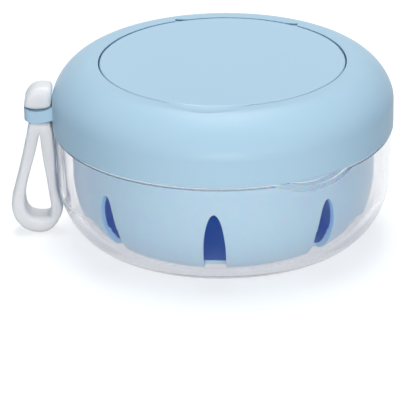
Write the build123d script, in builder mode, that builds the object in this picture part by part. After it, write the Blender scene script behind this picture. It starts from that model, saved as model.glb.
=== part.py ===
from build123d import *
import os
from math import cos, radians, sin, sqrt, tan

# Denture bath case: a clear bowl, a strainer basket hanging in its neck, and a press-on lid
# with a flip-up mirror cover and a moulded hanging strap.
# Frame: origin at the centre of the bowl's base, +Z up, -Y the front, azimuths counted from the
# front towards +X. Millimetres.

# ---------------------------------------------------------------- driving dimensions
# case
lid_radius = 52.5            # outside of the lid's skirt
rim_height = 35.0            # shoulder of the bowl above the table
lid_gap = 0.4                # shadow gap between the bowl's shoulder and the lid's edge
# bowl
bowl_wall = 2.0
bowl_inset = 0.5             # the bowl's shoulder stands this far inside the lid's skirt
bowl_draft = 0.6             # how much the straight side closes in on its way down
bowl_side = 18.5             # height of the straight side below the shoulder
bowl_base_radius = 41.6      # where the rounded corner meets the base
bowl_corner_power = 1.5
foot_radius = 36.0           # raised flat that the case stands on
foot_height = 1.4
neck_height = 6.0            # spigot above the shoulder that the lid slips over
neck_wall = 1.6
shoulder_wall = 1.2
neck_clearance = 1.3         # between the neck and the lid's skirt
# finger dip in the bowl's shoulder
dip_azimuth = 33.4
dip_width = 20.6
dip_depth = 2.1
dip_wall = 2.4               # of the lens-shaped thickening below the dip
# basket
basket_wall = 1.4
basket_clearance = 0.5       # between the basket and the bowl's neck
basket_draft = 0.3
basket_side = 14.0           # height of the straight side below the shoulder
basket_corner_inset = 1.4    # its rounded corner ends this far inside the bowl's
basket_corner_power = 1.6
basket_floor_gap = 0.8       # water gap under the basket
flange_thickness = 1.4
flange_lip = 0.3             # how far the flange stays inside the neck's outer edge
slot_count = 8
slot_azimuth = -4.0
slot_width = 6.7
slot_arch = 14.0             # height of the pointed arch at the top of each slot
slot_top = 10.4              # below the bowl's shoulder
slot_inset = 1.8             # the slots end this far inside the basket's rounded corner
drain_radius = 4.0
# lid shell
lid_wall = 2.2
lid_side = 8.5               # height of the straight skirt
lid_height = 20.3
lid_flat_radius = 41.0       # edge of the flat top
lid_corner_power = 1.7
lid_edge_round = 0.4
# recess and mirror cover in the top
cover_radius = 37.7
cover_seam = 0.4             # gap round the closed cover
cover_thickness = 2.4
cover_edge_round = 0.6
recess_depth = 6.6
recess_wall = 1.8
recess_floor = 1.8
mirror_radius = 32.0
mirror_thickness = 1.5
mirror_clearance = 0.3
pad_thickness = 0.4
mirror_inset = 0.1           # the mirror's face lies this far inside its collar
mirror_bevel = 0.3
pad_margin = 2.0             # the adhesive pad is this much smaller than the mirror
cup_wall = 1.3               # collar round the mirror
cup_roof = 1.4               # cover left above the mirror
# thumb scoop in front of the cover
scoop_azimuth = -8.0         # the cover's front; its hinge is opposite
scoop_sweep = 40.4           # degrees of the seam that the scoop opens
scoop_reach = 4.7            # beyond the recess's edge
scoop_depth = 3.4
scoop_wall = 1.6
# lip of the cover, which fills the scoop and slopes down to the front
lip_step = 0.3               # its root lies this far under the cover's face
lip_slope = 12.0             # degrees
lip_overlap = 1.0            # how far it is sunk in the cover
# hinge of the cover
hinge_inset = 4.2            # the hinge line lies this far inside the cover's edge
hinge_depth = 0.85           # hinge line below the lid's top
trunnion_radius = 0.55
trunnion_clearance = 0.05
trunnion_grip = 2.5          # length of trunnion inside its socket
trunnion_end_gap = 0.2
cover_opening = 95.0         # degrees
swing_clearance = 0.15       # round what turns in the hinge pockets
boss_wall = 1.0              # plastic left round a hinge pocket and its socket
boss_skin = 1.0              # the boss starts this far under the top
# silicone seal
seal_height = 3.0
seal_up = 1.8                # above the lid's edge
seal_groove = 0.6            # depth of its groove in the skirt
seal_clearance = 0.3         # between the seal and the bowl's neck
seal_fin = 0.5
# lug for the strap, on the lid's left side
lug_width = 9.0
lug_tip = 8.6                # reach beyond the lid's skirt
lug_root = 1.2               # depth that it is sunk in the skirt
lug_corner = 2.6
lug_thickness = 3.8
lug_low = 2.1                # underside above the lid's edge
# moulded strap: head above the lug, shank through it, loop below
saddle_radius = 9.1          # the head rocks in a saddle of this radius
strap_gap = 0.25             # head to lug, lug to neck
strap_width = 9.0
strap_centre = 4.5           # rocking centre beyond the lid's skirt
shank_length = 2.6           # along X
shank_width = 4.0
shank_inner = 1.6            # its inner face from the rocking centre
shank_clearance = 0.3
strap_swing = 7.0            # degrees, away from the bowl
head_height = 7.4            # above the saddle's lowest point
head_outer = 3.9             # half lengths of the head from the rocking centre
head_inner = 4.1
head_width = 8.6
head_slope = 5.1             # height of the slanted outer shoulder
head_bulge = 1.25            # of that shoulder's arc
head_round = 1.2
neck_outer = 2.7             # half lengths of the strap's neck from the rocking centre
neck_inner = 4.1
neck_round = 1.0             # its two upper corners
loop_drop = 26.9             # centre of the loop's round end below the lid's edge
loop_shift = 1.15            # and outwards from the rocking centre
loop_radius = 7.95
hole_radius = 3.55
hole_drop = 26.7
hole_shift = 1.05
hole_apex = 2.3              # top of the loop's hole below the lid's edge
hole_apex_shift = -0.5
hole_apex_radius = 0.5
strap_round = 0.7
head_tilt = 0.6              # the head's inner side leans this far towards the lid
loop_lean = 16.0             # degrees of the round end where the outer leg meets it
loop_turn = 4.0              # radius where it turns up into the inner leg
leg_gap = 0.3                # inner leg to the bowl, so that the strap clears it as the lid lifts

# ---------------------------------------------------------------- sizes that follow
lid_edge = rim_height + lid_gap
lid_top = lid_edge + lid_height
bowl_radius = lid_radius - bowl_inset
skirt_inner = lid_radius - lid_wall
neck_outer_radius = skirt_inner - neck_clearance
neck_inner_radius = neck_outer_radius - neck_wall
neck_top = rim_height + neck_height
basket_radius = neck_inner_radius - basket_clearance
basket_base_radius = bowl_base_radius - basket_corner_inset
basket_bottom = foot_height + bowl_wall + basket_floor_gap
slot_inner_radius = basket_base_radius - slot_inset
recess_radius = cover_radius + cover_seam
hinge_offset = cover_radius - hinge_inset   # distance of the hinge line behind the lid's centre
recess_bottom = lid_top - recess_depth
hinge_height = lid_top - hinge_depth
mirror_pocket = mirror_radius + mirror_clearance


def out(azimuth):
    """Unit vector from the axis towards an azimuth."""
    return Vector(sin(radians(azimuth)), -cos(radians(azimuth)), 0)


def along(azimuth):
    """Unit vector round the axis at an azimuth, to the right seen from outside."""
    return Vector(cos(radians(azimuth)), sin(radians(azimuth)), 0)


def corner(r_side, z_side, r_end, z_end, power, steps=12):
    """Points of a superellipse quarter from a vertical side to a level end."""
    points = []
    for i in range(steps + 1):
        angle = radians(90 * i / steps)
        points.append((r_end + (r_side - r_end) * cos(angle) ** (2 / power),
                       z_side + (z_end - z_side) * sin(angle) ** (2 / power)))
    return points


# ---------------------------------------------------------------- outer bowl
# Clear wall with a rounded lower corner; the shoulder carries the lid and the neck carries the basket.
dip_radius = ((dip_width / 2) ** 2 + dip_depth ** 2) / (2 * dip_depth)
dip_centre = Vector(0, 0, rim_height + dip_radius - dip_depth)
dip_plane = Plane(origin=dip_centre, x_dir=along(dip_azimuth), z_dir=out(dip_azimuth))
shoulder_bottom = rim_height - shoulder_wall
inner_rim = bowl_radius - bowl_wall
with BuildPart() as dip_cutter:
    with BuildSketch(dip_plane):
        Circle(dip_radius)
    extrude(amount=lid_radius)
    with BuildSketch(Plane.XY):
        Circle(neck_outer_radius)
    extrude(amount=dip_centre.Z + dip_radius, mode=Mode.SUBTRACT)
with BuildPart() as dip_lens:
    with BuildSketch(dip_plane):
        Circle(dip_radius + dip_wall)
    extrude(amount=lid_radius)
    with BuildSketch(Plane.XY):
        Circle(inner_rim + bowl_wall / 2)
        Circle(neck_inner_radius, mode=Mode.SUBTRACT)
    extrude(amount=rim_height - shoulder_wall / 2, mode=Mode.INTERSECT)

side_foot = bowl_radius - bowl_draft
side_bottom = rim_height - bowl_side
base_top = foot_height + bowl_wall
with BuildPart() as outer_bowl:
    with BuildSketch(Plane.XZ):
        with BuildLine():
            outside = corner(side_foot, side_bottom, bowl_base_radius, foot_height, bowl_corner_power)
            inside = corner(side_foot - bowl_wall, side_bottom, bowl_base_radius - bowl_wall, base_top,
                            bowl_corner_power)
            Spline(outside)
            Polyline(outside[-1], (foot_radius, foot_height), (foot_radius - foot_height, 0), (0, 0),
                     (0, bowl_wall), (foot_radius - bowl_wall - foot_height, bowl_wall),
                     (foot_radius - bowl_wall, base_top), inside[-1])
            Spline(inside)
            Polyline(inside[0], (inner_rim, shoulder_bottom), (neck_inner_radius, shoulder_bottom),
                     (neck_inner_radius, neck_top), (neck_outer_radius, neck_top),
                     (neck_outer_radius, rim_height), (bowl_radius, rim_height), outside[0])
        make_face()
    revolve(axis=Axis.Z)
    # The lens thickens the wall below the finger dip, so that the dip doesn't open the bowl.
    add(dip_lens.part)
    add(dip_cutter.part, mode=Mode.SUBTRACT)
outer_bowl.part.label = "outer_bowl"

# ---------------------------------------------------------------- strainer basket
# Hangs by its flange on the bowl's neck; pointed slots run down its side and under its corner.
basket_side_foot = basket_radius - basket_draft
basket_side_bottom = rim_height - basket_side
basket_floor_top = basket_bottom + basket_wall
flange_radius = neck_outer_radius - flange_lip
flange_top = neck_top + flange_thickness
arch_base = rim_height - slot_top - slot_arch
with BuildPart() as strainer_basket:
    with BuildSketch(Plane.XZ):
        with BuildLine():
            outside = corner(basket_side_foot, basket_side_bottom, basket_base_radius, basket_bottom,
                             basket_corner_power)
            inside = corner(basket_side_foot - basket_wall, basket_side_bottom,
                            basket_base_radius - basket_wall, basket_floor_top, basket_corner_power)
            Spline(outside)
            Polyline(outside[-1], (0, basket_bottom), (0, basket_floor_top), inside[-1])
            Spline(inside)
            Polyline(inside[0], (basket_radius - basket_wall, flange_top), (flange_radius, flange_top),
                     (flange_radius, neck_top), (basket_radius, neck_top), outside[0])
        make_face()
    revolve(axis=Axis.Z)
    for i in range(slot_count):
        azimuth = slot_azimuth + i * 360 / slot_count
        with BuildSketch(Plane(origin=out(azimuth) * slot_inner_radius, x_dir=along(azimuth),
                               z_dir=out(azimuth))):
            with Locations((0, arch_base)):
                Ellipse(slot_width / 2, slot_arch)
                Rectangle(slot_width, arch_base, align=(Align.CENTER, Align.MAX))
        extrude(amount=lid_radius, mode=Mode.SUBTRACT)
    with BuildSketch(Plane.XY):
        Circle(drain_radius)
    extrude(amount=neck_top, mode=Mode.SUBTRACT)
strainer_basket.part.label = "strainer_basket"

# ---------------------------------------------------------------- lid shell
# Skirt, rounded shoulder and flat ring; a recess for the cover, its scoop, hinge sockets and the lug.
shell_edge = lid_edge + lid_side
wall_outer = recess_radius + recess_wall
hinge_line = out(scoop_azimuth + 180) * hinge_offset + Vector(0, 0, hinge_height)
cover_right = along(scoop_azimuth)
rising = hinge_depth * tan(radians(cover_opening / 2))
pocket_radius = sqrt(hinge_depth ** 2 + rising ** 2) + swing_clearance
pocket_start = sqrt(recess_radius ** 2 - (hinge_offset + pocket_radius) ** 2)
rim_reach = rising + swing_clearance
pocket_end = sqrt(cover_radius ** 2 - (hinge_offset - rim_reach) ** 2) + swing_clearance
socket_radius = trunnion_radius + trunnion_clearance
socket_length = trunnion_grip + trunnion_end_gap
boss_length = pocket_end + socket_length + boss_wall - pocket_start + boss_wall
boss_width = 2 * (pocket_radius + boss_wall)
boss_height = hinge_depth + pocket_radius + boss_wall - boss_skin
scoop_half = recess_radius * sin(radians(scoop_sweep / 2))
scoop_rise = recess_radius * (1 - cos(radians(scoop_sweep / 2))) + scoop_reach
scoop_radius = (scoop_half ** 2 + scoop_rise ** 2) / (2 * scoop_rise)
scoop_centre = out(scoop_azimuth) * (recess_radius + scoop_reach - scoop_radius)
rocking = Vector(-(lid_radius + strap_centre), 0, lid_edge + lug_low + lug_thickness + saddle_radius)
lug_underside = saddle_radius + lug_thickness
lug_length = lug_tip + lug_root
shank_outer = shank_length - shank_inner
slot_outer = shank_outer + lug_underside * sin(radians(strap_swing)) + shank_clearance
slot_inner = shank_inner + shank_clearance
with BuildPart() as lid_shell:
    with BuildSketch(Plane.XZ):
        with BuildLine():
            outside = corner(lid_radius, shell_edge, lid_flat_radius, lid_top, lid_corner_power)
            inside = corner(skirt_inner, shell_edge, lid_flat_radius, lid_top - lid_wall, lid_corner_power)
            Spline(outside)
            Polyline(outside[-1], (0, lid_top), (0, recess_bottom - recess_floor),
                     (wall_outer, recess_bottom - recess_floor), (wall_outer, lid_top - lid_wall),
                     inside[-1])
            Spline(inside)
            Polyline(inside[0], (skirt_inner, lid_edge), (lid_radius, lid_edge), outside[0])
        make_face()
    revolve(axis=Axis.Z)
    fillet(lid_shell.edges().filter_by(GeomType.CIRCLE).group_by(Axis.Z)[0].sort_by(SortBy.RADIUS)[-1],
           radius=lid_edge_round)
    # Bosses under the ring for the hinge, and the floor under the scoop.
    for side in (-1, 1):
        middle = hinge_line + cover_right * side * (pocket_start - boss_wall + boss_length / 2)
        with BuildSketch(Plane(origin=(middle.X, middle.Y, lid_top - boss_skin), x_dir=cover_right)):
            Rectangle(boss_length, boss_width)
        extrude(amount=-boss_height)
    with BuildSketch(Plane.XY.offset(lid_top - boss_skin)):
        with Locations(scoop_centre):
            Circle(scoop_radius + scoop_wall)
    extrude(amount=boss_skin - scoop_depth - scoop_wall)
    # Recess for the cover, and the scoop in front of it.
    with BuildSketch(Plane.XY.offset(lid_top)):
        Circle(recess_radius)
    extrude(amount=-recess_depth, mode=Mode.SUBTRACT)
    with BuildSketch(Plane.XY.offset(lid_top)):
        with Locations(scoop_centre):
            Circle(scoop_radius)
    extrude(amount=-scoop_depth, mode=Mode.SUBTRACT)
    # Pockets that the cover's rim turns in, with a socket at the end of each.
    for side in (-1, 1):
        for start, length, radius in ((pocket_start, pocket_end - pocket_start, pocket_radius),
                                      (pocket_end, socket_length, socket_radius)):
            with BuildSketch(Plane(origin=hinge_line + cover_right * side * start, x_dir=(0, 0, 1),
                                   z_dir=cover_right * side)):
                Circle(radius)
            extrude(amount=length, mode=Mode.SUBTRACT)
    # Groove for the seal.
    with BuildSketch(Plane.XY.offset(lid_edge + seal_up)):
        Circle(skirt_inner + seal_groove)
    extrude(amount=seal_height, mode=Mode.SUBTRACT)
    # Lug with a saddle on top, and the slot for the strap's shank.
    with BuildSketch(Plane.XZ):
        with Locations((rocking.X, rocking.Z)):
            Circle(lug_underside)
            Circle(saddle_radius, mode=Mode.SUBTRACT)
        with Locations((-(lid_radius + lug_tip), rocking.Z)):
            Rectangle(lug_length, lug_underside, align=(Align.MIN, Align.MAX), mode=Mode.INTERSECT)
    extrude(amount=lug_width / 2, both=True)
    fillet(lid_shell.edges().filter_by(Axis.Z).group_by(Axis.X)[0], radius=lug_corner)
    with BuildSketch(Plane.XY.offset(lid_edge)):
        with Locations((rocking.X - slot_outer, 0)):
            Rectangle(slot_outer + slot_inner, shank_width + 2 * shank_clearance,
                      align=(Align.MIN, Align.CENTER))
    extrude(amount=lid_side, mode=Mode.SUBTRACT)
lid_shell.part.label = "lid_shell"

# ---------------------------------------------------------------- lid seal
# Silicone ring in the skirt's groove, with two fins towards the bowl's neck.
seal_outer = skirt_inner + seal_groove
seal_tip = neck_outer_radius + seal_clearance
seal_body = seal_tip + seal_fin
seal_bottom = lid_edge + seal_up
fin_pitch = seal_height / 2
with BuildPart() as lid_seal:
    with BuildSketch(Plane.XZ):
        with BuildLine():
            Polyline((seal_outer, seal_bottom), (seal_body, seal_bottom),
                     (seal_tip, seal_bottom + fin_pitch / 2), (seal_body, seal_bottom + fin_pitch),
                     (seal_tip, seal_bottom + fin_pitch * 3 / 2), (seal_body, seal_bottom + seal_height),
                     (seal_outer, seal_bottom + seal_height), close=True)
        make_face()
    revolve(axis=Axis.Z)
lid_seal.part.label = "lid_seal"

# ---------------------------------------------------------------- flip cover
# Disc that closes the recess, with a collar for the mirror below, a trunnion at each end of its hinge and a
# sloping lip at its front, whose edge a thumb lifts.
cover_bottom = lid_top - cover_thickness
collar_bottom = lid_top - cup_roof - pad_thickness - mirror_thickness - mirror_inset
trunnion_root = sqrt(cover_radius ** 2 - hinge_offset ** 2) - boss_wall
lip_top = Plane(origin=out(scoop_azimuth) * cover_radius + Vector(0, 0, lid_top - lip_step),
                x_dir=cover_right,
                z_dir=out(scoop_azimuth) * sin(radians(lip_slope)) + Vector(0, 0, cos(radians(lip_slope))))
with BuildPart() as lip:
    with BuildSketch(Plane.XY.offset(cover_bottom)):
        with Locations(scoop_centre):
            Circle(scoop_radius - cover_seam)
        Circle(cover_radius - lip_overlap, mode=Mode.SUBTRACT)
    extrude(amount=cover_thickness - lip_step)
    split(bisect_by=lip_top, keep=Keep.BOTTOM)
with BuildPart() as flip_cover:
    with BuildSketch(Plane.XY.offset(cover_bottom)):
        Circle(cover_radius)
    extrude(amount=cover_thickness)
    fillet(flip_cover.faces().sort_by(Axis.Z)[-1].edges(), radius=cover_edge_round)
    with BuildSketch(Plane.XY.offset(collar_bottom)):
        Circle(mirror_pocket + cup_wall)
    extrude(amount=cover_bottom - collar_bottom)
    with BuildSketch(Plane.XY.offset(collar_bottom)):
        Circle(mirror_pocket)
    extrude(amount=lid_top - cup_roof - collar_bottom, mode=Mode.SUBTRACT)
    for side in (-1, 1):
        with BuildSketch(Plane(origin=hinge_line + cover_right * side * trunnion_root, x_dir=(0, 0, 1),
                               z_dir=cover_right * side)):
            Circle(trunnion_radius)
        extrude(amount=pocket_end + trunnion_grip - trunnion_root)
    add(lip.part)
flip_cover.part.label = "flip_cover"

# ---------------------------------------------------------------- mirror and its adhesive pad
pad_top = lid_top - cup_roof
mirror_top = pad_top - pad_thickness
with BuildPart() as mirror_pad:
    with BuildSketch(Plane.XY.offset(mirror_top)):
        Circle(mirror_radius - pad_margin)
    extrude(amount=pad_thickness)
mirror_pad.part.label = "mirror_pad"

with BuildPart() as mirror:
    with BuildSketch(Plane.XY.offset(mirror_top)):
        Circle(mirror_radius)
    extrude(amount=-mirror_thickness)
    chamfer(mirror.faces().sort_by(Axis.Z)[0].edges(), length=mirror_bevel)
mirror.part.label = "mirror"

# ---------------------------------------------------------------- strap
# One soft moulding: the head sits in the lug's saddle, the shank passes the slot, the loop hangs below.
def below(radius, offset):
    """Point on a circle round the rocking centre, at an offset along X."""
    return (rocking.X + offset, rocking.Z - sqrt(radius ** 2 - offset ** 2))


def on_round(centre, radius, angle):
    """Point of a circle at an angle from +X."""
    return (centre[0] + radius * cos(radians(angle)), centre[1] + radius * sin(radians(angle)))


head_seat = saddle_radius - strap_gap
neck_arc = lug_underside + strap_gap
head_top = rocking.Z - saddle_radius + head_height
loop_centre = (rocking.X - loop_shift, lid_edge - loop_drop)
outer_join = on_round(loop_centre, loop_radius, 180 - loop_lean)
outer_heading = (sin(radians(loop_lean)), cos(radians(loop_lean)))
leg_side = -(bowl_radius + leg_gap)
leg_foot = (leg_side, loop_centre[1] - sqrt(loop_radius ** 2 - (leg_side - loop_centre[0]) ** 2))
with BuildPart() as strap_loop:
    with BuildSketch(Plane.XZ) as outline:
        with BuildLine():
            neck_left, neck_right = below(neck_arc, -neck_outer), below(neck_arc, neck_inner)
            ThreePointArc(neck_left, below(neck_arc, 0), neck_right)
            TangentArc(outer_join, neck_left, tangent=outer_heading)
            ThreePointArc(outer_join, on_round(loop_centre, loop_radius, 270), leg_foot)
            Line(leg_foot, neck_right)
        make_face()
        fillet(outline.vertices().sort_by(Axis.Y)[-2:], radius=neck_round)
        fillet(outline.vertices().sort_by(Axis.Y)[0], radius=loop_turn)
        with BuildSketch(mode=Mode.PRIVATE) as hole:
            with Locations((rocking.X + hole_apex_shift, lid_edge - hole_apex)):
                Circle(hole_apex_radius)
            with Locations((rocking.X - hole_shift, lid_edge - hole_drop)):
                Circle(hole_radius)
            make_hull()
        add(hole.sketch, mode=Mode.SUBTRACT)
    extrude(amount=strap_width / 2, both=True)
    fillet(strap_loop.faces().filter_by(Axis.Y).edges(), radius=strap_round)
    with BuildSketch(Plane.XZ) as head:
        with BuildLine():
            seat_left, seat_right = below(head_seat, -head_outer), below(head_seat, head_inner)
            slope_foot = (seat_left[0], head_top - head_slope)
            slope_top = (seat_left[0] + head_slope, head_top)
            ThreePointArc(seat_left, below(head_seat, 0), seat_right)
            Line(seat_left, slope_foot)
            SagittaArc(slope_foot, slope_top, head_bulge)
            Polyline(slope_top, (seat_right[0] + head_tilt, head_top), seat_right)
        make_face()
        fillet(head.vertices().group_by(Axis.Y)[-1], radius=head_round)
    extrude(amount=head_width / 2, both=True)
    head_sides = strap_loop.faces().filter_by(Axis.Y).group_by(Axis.Z)[-1]
    fillet(head_sides.edges().group_by(Axis.Z)[1:], radius=head_round)
    with BuildSketch(Plane.XY.offset(below(neck_arc, 0)[1] - boss_wall)):
        with Locations((rocking.X - shank_outer, 0)):
            Rectangle(shank_length, shank_width, align=(Align.MIN, Align.CENTER))
    extrude(amount=neck_arc - head_seat + 2 * boss_wall)
strap_loop.part.label = "strap_loop"

# ---------------------------------------------------------------- files
os.makedirs("parts", exist_ok=True)
for piece in (outer_bowl, strainer_basket, lid_shell, lid_seal, flip_cover, mirror_pad, mirror, strap_loop):
    export_step(piece.part, f"parts/{piece.part.label}.step")
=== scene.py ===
import math

import bpy
import numpy as np
from mathutils import Matrix, Vector


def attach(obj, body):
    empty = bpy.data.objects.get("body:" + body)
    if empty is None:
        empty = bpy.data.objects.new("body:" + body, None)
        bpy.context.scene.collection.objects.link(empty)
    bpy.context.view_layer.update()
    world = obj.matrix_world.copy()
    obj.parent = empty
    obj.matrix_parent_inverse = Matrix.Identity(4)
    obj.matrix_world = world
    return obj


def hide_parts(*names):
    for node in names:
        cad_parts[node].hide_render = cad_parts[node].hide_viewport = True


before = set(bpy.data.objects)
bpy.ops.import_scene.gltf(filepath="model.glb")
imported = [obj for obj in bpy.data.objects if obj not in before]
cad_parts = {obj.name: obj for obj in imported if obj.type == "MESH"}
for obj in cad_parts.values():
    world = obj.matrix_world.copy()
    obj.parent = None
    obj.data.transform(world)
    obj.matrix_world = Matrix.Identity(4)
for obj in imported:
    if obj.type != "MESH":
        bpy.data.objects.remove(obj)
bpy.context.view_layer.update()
MM = 0.001

# ---- Camera ---------------------------------------------------------------
# A long lens a metre in front of the case, looking down at it by 23.5 degrees,
# so that the rim, the far side of the lid and the clear base all show.
CAMERA_PLACE = (-4.95 * MM, -962.7 * MM, 425.7 * MM)
CAMERA_DOWN = math.radians(23.53)
CAMERA_ROLL = math.radians(-0.72)
CAMERA_LENS = 291.4

forward = Vector((0, math.cos(CAMERA_DOWN), -math.sin(CAMERA_DOWN)))
level = Vector((1, 0, 0))
upright = level.cross(forward)
right = level * math.cos(CAMERA_ROLL) + upright * math.sin(CAMERA_ROLL)
top = upright * math.cos(CAMERA_ROLL) - level * math.sin(CAMERA_ROLL)
camera = bpy.data.objects.new("camera", bpy.data.cameras.new("camera"))
camera.data.lens = CAMERA_LENS
camera.data.sensor_width = 36
camera.data.clip_start = 0.05
camera.data.clip_end = 20
camera.matrix_world = Matrix.Translation(CAMERA_PLACE) @ Matrix((right, top, -forward)).transposed().to_4x4()
bpy.context.scene.collection.objects.link(camera)
bpy.context.scene.camera = camera
bpy.context.scene.view_settings.view_transform = "Standard"


# ---- Studio ---------------------------------------------------------------
# A white paper floor in a white room, under a wide softbox overhead, a low one
# in front and a narrow one on either side of it. The room fills in sky blue.
FLOOR_RADIUS = 6.0
FLOOR_RINGS = 4
FLOOR_SPOKES = 96
PAPER = (0.45, 0.45, 0.4545, 1)
PAPER_LIFT = 0.74
GLASS_SHARE = 0.85
ROOM_LIGHT = (0.02, 0.52, 1, 1)
ROOM_LEVEL = 0.21
WHITE = (1, 1, 1, 1)


def node(tree, kind, into=None, **settings):
    """Adds a node. A setting named like an input sets it, or links it where the value is a socket; any
    other sets a property of the node. into is a socket that the node's first output feeds."""
    made = tree.nodes.new(kind)
    for name, value in settings.items():
        socket = made.inputs.get(name.replace("_", " ")) if name[0].isupper() else None
        if socket is None:
            setattr(made, name, value)
        elif isinstance(value, bpy.types.NodeSocket):
            tree.links.new(value, socket)
        else:
            socket.default_value = value
    if into is not None:
        tree.links.new(made.outputs[0], into)
    return made


def sockets(made, **values):
    """Sets or links inputs by number, for nodes whose inputs share a name: i0=..., i1=..."""
    tree = made.id_data
    for name, value in values.items():
        socket = made.inputs[int(name[1:])]
        if isinstance(value, bpy.types.NodeSocket):
            tree.links.new(value, socket)
        else:
            socket.default_value = value
    return made


def new_material(name):
    """An empty node material and its output's surface socket."""
    material = bpy.data.materials.new(name)
    material.use_nodes = True
    material.node_tree.nodes.clear()
    output = material.node_tree.nodes.new("ShaderNodeOutputMaterial")
    return material, material.node_tree, output.inputs["Surface"]


def rays_that_see(tree, share=1.0):
    """1 for a ray from the camera, a share off a gloss or through glass, and 0 for one that only brings
    light."""
    path = node(tree, "ShaderNodeLightPath")
    bent = sockets(node(tree, "ShaderNodeMath", operation="MAXIMUM"),
                   i0=path.outputs["Is Glossy Ray"], i1=path.outputs["Is Transmission Ray"])
    dimmed = sockets(node(tree, "ShaderNodeMath", operation="MULTIPLY"), i0=bent.outputs[0], i1=share)
    return sockets(node(tree, "ShaderNodeMath", operation="MAXIMUM"),
                   i0=path.outputs["Is Camera Ray"], i1=dimmed.outputs[0]).outputs[0]


def disc_mesh(name, radius, rings, spokes):
    """A flat disc on the ground: point (ring, spoke) lies at radius * ring / rings and turns by
    2 pi spoke / spokes."""
    reach = np.repeat(np.arange(1, rings + 1) / rings * radius, spokes)
    turn = np.tile(np.arange(spokes) / spokes * 2 * np.pi, rings)
    rim = np.column_stack([reach * np.cos(turn), reach * np.sin(turn), np.zeros(len(reach))])
    points = np.vstack([np.zeros((1, 3)), rim])
    spoke = np.arange(spokes)
    following = (spoke + 1) % spokes
    middle = np.column_stack([np.zeros(spokes, int), 1 + spoke, 1 + following])
    ring = (np.arange(rings - 1) * spokes)[:, None]
    around = np.stack([1 + ring + spoke, 1 + ring + spokes + spoke,
                       1 + ring + spokes + following, 1 + ring + following], axis=2).reshape(-1, 4)
    mesh = bpy.data.meshes.new(name)
    mesh.from_pydata(points.tolist(), [], middle.tolist() + around.tolist())
    return mesh


floor = bpy.data.objects.new("floor", disc_mesh("floor", FLOOR_RADIUS, FLOOR_RINGS, FLOOR_SPOKES))
bpy.context.scene.collection.objects.link(floor)
sweep, tree, surface = new_material("sweep")
paper = node(tree, "ShaderNodeBsdfDiffuse", Color=PAPER)
lift = sockets(node(tree, "ShaderNodeMath", operation="MULTIPLY"),
               i0=rays_that_see(tree, GLASS_SHARE), i1=PAPER_LIFT)
glow = node(tree, "ShaderNodeEmission", Color=WHITE, Strength=lift.outputs[0])
sockets(node(tree, "ShaderNodeAddShader", surface), i0=paper.outputs[0], i1=glow.outputs[0])
floor.data.materials.append(sweep)

world = bpy.data.worlds.new("room")
bpy.context.scene.world = world
world.use_nodes = True
world.node_tree.nodes.clear()
tree = world.node_tree
output = tree.nodes.new("ShaderNodeOutputWorld")
lit = node(tree, "ShaderNodeBackground", Color=ROOM_LIGHT, Strength=ROOM_LEVEL)
seen = node(tree, "ShaderNodeBackground", Color=WHITE, Strength=1.0)
sockets(node(tree, "ShaderNodeMixShader", output.inputs["Surface"]),
        i0=rays_that_see(tree), i1=lit.outputs[0], i2=seen.outputs[0])


def softbox(name, place, aim, width, height, watts, tint=(1, 1, 1)):
    """A rectangular lamp at a place, facing a point."""
    lamp = bpy.data.lights.new(name, "AREA")
    lamp.shape = "RECTANGLE"
    lamp.size, lamp.size_y = width, height
    lamp.energy = watts
    lamp.color = tint
    made = bpy.data.objects.new(name, lamp)
    facing = Vector(aim) - Vector(place)
    made.matrix_world = Matrix.Translation(place) @ facing.to_track_quat("-Z", "Y").to_matrix().to_4x4()
    bpy.context.scene.collection.objects.link(made)


softbox("overhead", (0.0, 0.35, 1.4), (0, 0, 0.03), 0.6, 1.2, 18.5, (1, 0.94, 0.85))
softbox("key", (0.0, -1.45, 0.20), (0, 0, 0.03), 0.8, 0.36, 13, (1, 0.95, 0.88))
softbox("gleam_left", (-0.66, -1.14, 0.30), (0, 0, 0.04), 0.12, 0.5, 0.8)
softbox("gleam_right", (0.74, -1.14, 0.30), (0, 0, 0.04), 0.12, 0.5, 1.8)

# ---- Clear bowl -----------------------------------------------------------
# Injection-moulded clear styrene-acrylonitrile with 2 mm walls, polished all
# over, with faint flow waves. Its optical values are given below.
BOWL_IOR = 1.33              # such plastics have about 1.57
BOWL_BOUNCES = 3.5           # past these a ray runs on straight, so that the wall holds no grey wedges
DIFFUSE_BOUNCES = 0.5        # and so does light that the basket or the floor has scattered
BOWL_GLEAM = (0.15, 0.4, 1, 1)
BOWL_SHADE = (0.97, 0.975, 0.98, 1)
BOWL_DEPTH = (0.73, 0.72, 0.77, 1)
BOWL_DENSITY = 65.0


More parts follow.
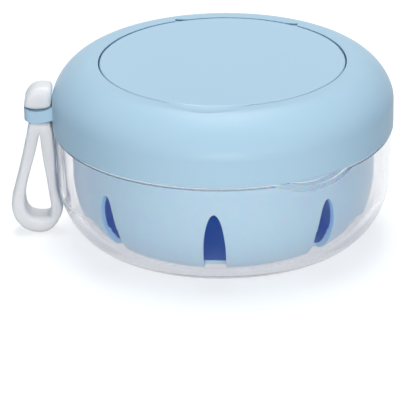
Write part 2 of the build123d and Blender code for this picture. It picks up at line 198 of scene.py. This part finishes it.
def grain_group():
    """Moulded skin: Colour drifts slowly between two shades, Roughness wanders round its mean, and Height
    is a fine spark-eroded grain, a noise of the given pitch in millimetres."""
    group = bpy.data.node_groups.new("moulded_skin", "ShaderNodeTree")
    face = group.interface
    for name, kind, value in (("Colour", "NodeSocketColor", (0.5, 0.5, 0.5, 1)),
                              ("Drift", "NodeSocketColor", (0.45, 0.45, 0.45, 1)),
                              ("Roughness", "NodeSocketFloat", 0.4), ("Wander", "NodeSocketFloat", 0.05),
                              ("Pitch", "NodeSocketFloat", 0.3)):
        face.new_socket(name, in_out="INPUT", socket_type=kind).default_value = value
    for name, kind in (("Colour", "NodeSocketColor"), ("Roughness", "NodeSocketFloat"),
                       ("Height", "NodeSocketFloat")):
        face.new_socket(name, in_out="OUTPUT", socket_type=kind)
    given = group.nodes.new("NodeGroupInput")
    result = group.nodes.new("NodeGroupOutput")
    place = node(group, "ShaderNodeTexCoord").outputs["Object"]
    slow = node(group, "ShaderNodeTexNoise", Vector=place, Scale=38.0, Detail=3.0, Roughness=0.5)
    mixed = node(group, "ShaderNodeMix", data_type="RGBA")
    sockets(mixed, i0=slow.outputs["Fac"], i6=given.outputs["Colour"], i7=given.outputs["Drift"])
    group.links.new(mixed.outputs[2], result.inputs["Colour"])
    smear = node(group, "ShaderNodeTexNoise", Vector=place, Scale=160.0, Detail=4.0, Roughness=0.6)
    centred = sockets(node(group, "ShaderNodeMath", operation="SUBTRACT"), i0=smear.outputs["Fac"], i1=0.5)
    swing = sockets(node(group, "ShaderNodeMath", operation="MULTIPLY_ADD"),
                    i0=centred.outputs[0], i1=given.outputs["Wander"], i2=given.outputs["Roughness"])
    group.links.new(swing.outputs[0], result.inputs["Roughness"])
    fineness = sockets(node(group, "ShaderNodeMath", operation="DIVIDE"),
                       i0=1000.0, i1=given.outputs["Pitch"])
    fine = node(group, "ShaderNodeTexNoise", Vector=place, Scale=fineness.outputs[0],
                Detail=2.0, Roughness=0.5)
    group.links.new(fine.outputs["Fac"], result.inputs["Height"])
    return group


SKIN = grain_group()


def moulded(name, colour, drift, roughness, wander, pitch, depth, **sockets_of_shader):
    """A material of moulded plastic or rubber: the skin group feeds a Principled shader, whose own sockets
    take the rest. pitch is the grain's in millimetres and depth its depth in micrometres."""
    material, tree, surface = new_material(name)
    skin = tree.nodes.new("ShaderNodeGroup")
    skin.node_tree = SKIN
    for socket, value in (("Colour", (*colour, 1)), ("Drift", (*drift, 1)), ("Roughness", roughness),
                          ("Wander", wander), ("Pitch", pitch)):
        skin.inputs[socket].default_value = value
    bump = node(tree, "ShaderNodeBump", Height=skin.outputs["Height"], Strength=1.0, Distance=depth * 1e-6)
    shader = node(tree, "ShaderNodeBsdfPrincipled", surface, Normal=bump.outputs[0],
                  Roughness=skin.outputs["Roughness"])
    tree.links.new(skin.outputs["Colour"], shader.inputs["Base Color"])
    for socket, value in sockets_of_shader.items():
        shader.inputs[socket.replace("_", " ")].default_value = value
    return material, tree, shader, surface


def dress(name, material):
    """Gives a CAD node its material in each of its slots."""
    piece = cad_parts[name]
    for place in piece.material_slots:
        place.material = material


clear, tree, shader, surface = moulded(
    "clear_wall", (0.985, 0.985, 0.99), (0.98, 0.98, 0.985), roughness=0.035, wander=0.02, pitch=9.0,
    depth=6.0, Transmission_Weight=1.0, IOR=BOWL_IOR, Specular_Tint=BOWL_GLEAM)
path = node(tree, "ShaderNodeLightPath")
passing = node(tree, "ShaderNodeBsdfTransparent", Color=BOWL_SHADE)
spent = sockets(node(tree, "ShaderNodeMath", operation="GREATER_THAN"),
                i0=path.outputs["Ray Depth"], i1=BOWL_BOUNCES)
scattered = sockets(node(tree, "ShaderNodeMath", operation="GREATER_THAN"),
                    i0=path.outputs["Diffuse Depth"], i1=DIFFUSE_BOUNCES)
straight = sockets(node(tree, "ShaderNodeMath", operation="MAXIMUM"),
                   i0=spent.outputs[0], i1=scattered.outputs[0])
wall = sockets(node(tree, "ShaderNodeMixShader"),
               i0=straight.outputs[0], i1=shader.outputs[0], i2=passing.outputs[0])
sockets(node(tree, "ShaderNodeMixShader", surface),
        i0=path.outputs["Is Shadow Ray"], i1=wall.outputs[0], i2=passing.outputs[0])
depth = node(tree, "ShaderNodeVolumeAbsorption", Color=BOWL_DEPTH, Density=BOWL_DENSITY)
tree.links.new(depth.outputs[0], surface.node.inputs["Volume"])
dress("outer_bowl", clear)

# ---- Strainer basket ------------------------------------------------------
# The same light blue polypropylene as the lid, with a satin skin, but its colour is
# written lighter than the lid's. It hangs by its flange on the bowl's neck. Its inside
# has painted shade, darker and bluer, and a faint painted blue glow for light through the wall.
BASKET_HEART = (0, 0, 22 * MM)
BASKET_OUTWARD = 10 * MM     # a face is an outer one where its plane lies this far beyond the heart
# painted shade: the inside faces are multiplied by this darker, bluer tint
BASKET_PAINTED_SHADE = (0.72, 0.90, 1, 1)
# painted glow: the inside faces emit this faint blue, though the plastic is no lamp
BASKET_PAINTED_GLOW = (0, 0.006, 0.054, 1)
BLACK = (0, 0, 0, 1)
# painted light: the base colour is lighter than the lid's to make up for the lid's shade and the clear wall
basket_skin, tree, shader = moulded(
    "basket_skin", (0.60, 0.785, 0.98), (0.585, 0.77, 0.97), roughness=0.32, wander=0.06, pitch=0.5,
    depth=5.0, Specular_IOR_Level=0.3, Emission_Strength=1.0, Subsurface_Weight=0.4,
    Subsurface_Scale=0.004, Subsurface_Radius=(0.02, 0.2, 1.0))[:3]
place = node(tree, "ShaderNodeTexCoord")
away = sockets(node(tree, "ShaderNodeVectorMath", operation="SUBTRACT"),
               i0=place.outputs["Object"], i1=BASKET_HEART)
facing = sockets(node(tree, "ShaderNodeVectorMath", operation="DOT_PRODUCT"),
                 i0=place.outputs["Normal"], i1=away.outputs[0])
inside = sockets(node(tree, "ShaderNodeMath", operation="LESS_THAN"),
                 i0=facing.outputs["Value"], i1=BASKET_OUTWARD)
# painted shade: darkens and blues the inside faces
painted_shade = node(tree, "ShaderNodeMix", data_type="RGBA", blend_type="MULTIPLY")
sockets(painted_shade, i0=inside.outputs[0], i6=shader.inputs["Base Color"].links[0].from_socket, i7=BASKET_PAINTED_SHADE)
tree.links.new(painted_shade.outputs[2], shader.inputs["Base Color"])
# painted glow: a faint blue emission on the inside faces
painted_glow = node(tree, "ShaderNodeMix", data_type="RGBA")
sockets(painted_glow, i0=inside.outputs[0], i6=BLACK, i7=BASKET_PAINTED_GLOW)
tree.links.new(painted_glow.outputs[2], shader.inputs["Emission Color"])
dress("strainer_basket", basket_skin)

# ---- Lid ------------------------------------------------------------------
# One light blue polypropylene moulding with a fine spark-eroded grain: skirt,
# rounded shoulder, ring, recess and the lug for the strap.
lid_skin = moulded("lid_skin", (0.46, 0.645, 0.785), (0.445, 0.63, 0.77), roughness=0.33, wander=0.06,
                   pitch=0.35, depth=6.0, Specular_IOR_Level=0.12)[0]
dress("lid_shell", lid_skin)

# ---- Seal -----------------------------------------------------------------
# A ring of translucent silicone pressed into the groove of the lid's skirt.
seal_skin = moulded("seal_skin", (0.80, 0.81, 0.84), (0.76, 0.77, 0.81), roughness=0.50, wander=0.10,
                    pitch=0.8, depth=8.0, Subsurface_Weight=0.3, Subsurface_Scale=0.003)[0]
dress("lid_seal", seal_skin)

# ---- Flip cover, foam pad and mirror --------------------------------------
# The cover is a polypropylene disc with a sloping lip for the thumb; under it a
# silvered glass mirror is held by a foam tape pad inside a moulded collar.
cover_skin = moulded("cover_skin", (0.47, 0.655, 0.80), (0.455, 0.64, 0.785), roughness=0.33,
                     wander=0.06, pitch=0.35, depth=6.0, Specular_IOR_Level=0.15)[0]
dress("flip_cover", cover_skin)

foam = moulded("foam_tape", (0.85, 0.85, 0.85), (0.78, 0.78, 0.78), roughness=0.85, wander=0.10,
               pitch=0.4, depth=60.0)[0]
dress("mirror_pad", foam)

glass = moulded("silvered_glass", (0.90, 0.93, 0.94), (0.88, 0.92, 0.93), roughness=0.03, wander=0.02,
                pitch=12.0, depth=2.0, Metallic=1.0)[0]
dress("mirror", glass)

# ---- Strap ----------------------------------------------------------------
# One soft silicone moulding: a head above the lug, a shank through the slot,
# and a loop that tapers up to it and tucks under the bowl's rounded side. Its
# lengths are in millimetres.
STRAP_HALF = 4.5
STRAP_EDGE = 1.3
STRAP_HEART = (-57.3, 14.0)
RING_STEPS = 160
EDGE_STEPS = 720
HEAD_HALF = 4.3
HEAD_EDGE = 1.6
HEAD_STEPS = 96
SHANK_LEFT = -58.0
SHANK_RIGHT = -55.4
SHANK_LOW = 36.0
SHANK_HIGH = 43.0
SHANK_HALF = 2.0
SHANK_EDGE = 0.4
SHANK_STEPS = 8


def rounded_section(half_long, half_wide, edge, steps=5):
    """Offsets of a rounded rectangle: each corner's centre plus a quarter circle of radius edge, in order."""
    turn = np.radians(np.concatenate([q * 90 + np.linspace(0, 90, steps) for q in range(4)]))
    quarter = np.repeat(np.arange(4), steps)
    along = np.where((quarter == 0) | (quarter == 3), 1, -1)
    across = np.where(quarter < 2, 1, -1)
    return (along * (half_long[..., None] - edge) + edge * np.cos(turn),
            across * (half_wide - edge) + edge * np.sin(turn))


def spline(points, samples):
    """A smooth closed line through points: Catmull-Rom, a cubic whose slope at each point is half the step
    between its neighbours, sampled evenly in its parameter."""
    p = np.asarray(points, float)
    p = np.vstack([p[-1:], p, p[:2]])
    t = np.linspace(0, len(p) - 3, samples, endpoint=False)
    i = np.minimum(t.astype(int), len(p) - 4)
    f = (t - i)[:, None]
    a, b, c, d = p[i], p[i + 1], p[i + 2], p[i + 3]
    return 0.5 * (2 * b + (c - a) * f + (2 * a - 5 * b + 4 * c - d) * f ** 2
                  + (3 * b - a - 3 * c + d) * f ** 3)


def grid_faces(rows, columns, close_rows=True):
    """Quads of a grid of points numbered row by row, whose rows are rings."""
    i = np.arange(rows if close_rows else rows - 1)[:, None]
    j = np.arange(columns)[None, :]
    following, beside = (i + 1) % rows, (j + 1) % columns
    return np.stack([i * columns + j, i * columns + beside, following * columns + beside,
                     following * columns + j], axis=2).reshape(-1, 4)


def mesh_from(name, points, faces):
    """A mesh in metres from points in millimetres and faces that already turn outwards, shaded smooth."""
    mesh = bpy.data.meshes.new(name)
    mesh.from_pydata((np.asarray(points) * MM).tolist(), [], faces)
    mesh.validate()
    mesh.polygons.foreach_set("use_smooth", np.ones(len(mesh.polygons), bool))
    return mesh


# Outline of the loop in the plane that faces the front: x to the right, z up.
HOLE = [(-56.5, 33.3), (-57.0, 31.5), (-58.0, 27.4), (-59.2, 23.1), (-60.3, 19.2), (-61.2, 15.2),
        (-61.6, 11.6), (-61.35, 8.6), (-60.2, 6.6), (-58.5, 5.75), (-56.3, 5.5), (-54.6, 5.75),
        (-53.65, 6.9), (-53.7, 9.9), (-54.3, 14.5), (-54.9, 19.5), (-55.6, 24.5), (-56.1, 29.0),
        (-56.3, 31.8)]
OUTER = [(-56.6, 37.25), (-58.9, 37.35), (-59.75, 36.6), (-60.7, 31.9), (-61.75, 27.0), (-62.8, 22.5),
         (-63.9, 18.1), (-65.0, 14.1), (-65.9, 10.3), (-65.3, 6.2), (-63.6, 3.4), (-61.0, 1.4),
         (-57.8, 0.6), (-54.8, 1.1), (-52.4, 3.1), (-50.8, 5.8), (-50.0, 8.6), (-50.7, 11.4),
         (-51.5, 15.0), (-51.85, 19.0), (-52.0, 26.0), (-52.4, 33.0), (-52.95, 36.4), (-53.9, 37.3)]


def polar(points):
    """Distance and unwrapped angle of points about the strap's heart."""
    away = points - np.array(STRAP_HEART)
    return np.hypot(*away.T), np.unwrap(np.arctan2(away[:, 1], away[:, 0]))


hole_reach, hole_turn = polar(spline(HOLE, RING_STEPS))
outer_reach, outer_turn = polar(spline(OUTER, EDGE_STEPS))
order = np.argsort(outer_turn)
reach = np.interp(hole_turn, outer_turn[order], outer_reach[order], period=2 * np.pi)
heading = np.column_stack([np.cos(hole_turn), np.sin(hole_turn)])
half = (reach - hole_reach) / 2
along, across = rounded_section(half, STRAP_HALF, STRAP_EDGE)
centre_reach = (reach + hole_reach)[:, None] / 2 + along
ring = np.stack([STRAP_HEART[0] + heading[:, :1] * centre_reach, np.broadcast_to(across, along.shape),
                 STRAP_HEART[1] + heading[:, 1:] * centre_reach], axis=2)
quads = grid_faces(*ring.shape[:2]).tolist()
loop = bpy.data.objects.new("strap", mesh_from("strap", ring.reshape(-1, 3), quads))
bpy.context.scene.collection.objects.link(loop)


def pillow(name, outline, half_wide, edge, steps=6):
    """A closed block: the outline, in the front plane, shrinks along its own radii through a quarter circle
    of radius edge at the front and at the back, and closes in a point at each face's middle."""
    outline = np.asarray(outline, float)
    heart = outline.mean(axis=0)
    away = outline - heart
    far = np.hypot(*away.T)[:, None]
    turn = np.radians(np.linspace(0, 90, steps))
    inset = np.concatenate([edge * (1 - np.sin(turn)), edge * (1 - np.sin(turn[::-1]))])
    reach = half_wide - edge + edge * np.cos(turn)
    depth = np.concatenate([reach, -reach[::-1]])
    share = 1 - inset[:, None, None] / far[None]
    flat = heart + away[None] * share
    rows = np.stack([flat[..., 0], np.broadcast_to(depth[:, None], flat.shape[:2]), flat[..., 1]], axis=2)
    n = len(outline)
    tips = np.array([[heart[0], half_wide, heart[1]], [heart[0], -half_wide, heart[1]]])
    points = np.vstack([rows.reshape(-1, 3), tips])
    j = np.arange(n)
    following = (j + 1) % n
    base = (len(rows) - 1) * n
    front = np.column_stack([np.full(n, len(points) - 2), following, j])
    back = np.column_stack([np.full(n, len(points) - 1), base + j, base + following])
    quads = grid_faces(len(rows), n, close_rows=False)
    faces = quads.tolist() + front.tolist() + back.tolist()
    made = bpy.data.objects.new(name, mesh_from(name, points, faces))
    bpy.context.scene.collection.objects.link(made)
    return made


HEAD = [(-60.85, 42.6), (-60.9, 43.6), (-60.4, 45.6), (-58.9, 47.6), (-56.8, 48.6), (-54.4, 48.7),
        (-52.9, 48.3), (-52.35, 47.2), (-52.5, 44.8), (-52.85, 42.7), (-54.6, 41.85), (-57.0, 41.6),
        (-59.2, 41.85)]
head = pillow("strap_head", spline(HEAD, HEAD_STEPS), HEAD_HALF, HEAD_EDGE)
corners = np.array([(SHANK_LEFT, SHANK_LOW), (SHANK_LEFT, SHANK_HIGH), (SHANK_RIGHT, SHANK_HIGH),
                    (SHANK_RIGHT, SHANK_LOW)])
sides = np.linspace(corners, np.roll(corners, -1, axis=0), SHANK_STEPS, endpoint=False)
shank = pillow("strap_shank", sides.swapaxes(0, 1).reshape(-1, 2), SHANK_HALF, SHANK_EDGE)
for part in (shank, head):
    join = loop.modifiers.new(part.name, "BOOLEAN")
    join.operation = "UNION"
    join.solver = "EXACT"
    join.object = part
bpy.context.view_layer.update()
whole = bpy.data.meshes.new_from_object(loop.evaluated_get(bpy.context.evaluated_depsgraph_get()))
loop.modifiers.clear()
loop.data = whole
for part in (shank, head):
    bpy.data.objects.remove(part)
strap_skin = moulded("strap_silicone", (0.81, 0.805, 0.82), (0.79, 0.785, 0.805), roughness=0.46,
                     wander=0.08, pitch=0.6, depth=6.0, Subsurface_Weight=1.0, Subsurface_Scale=0.004,
                     Subsurface_Radius=(1, 1, 1))[0]
loop.data.materials.clear()
loop.data.materials.append(strap_skin)
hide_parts("strap_loop")
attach(loop, "strap")
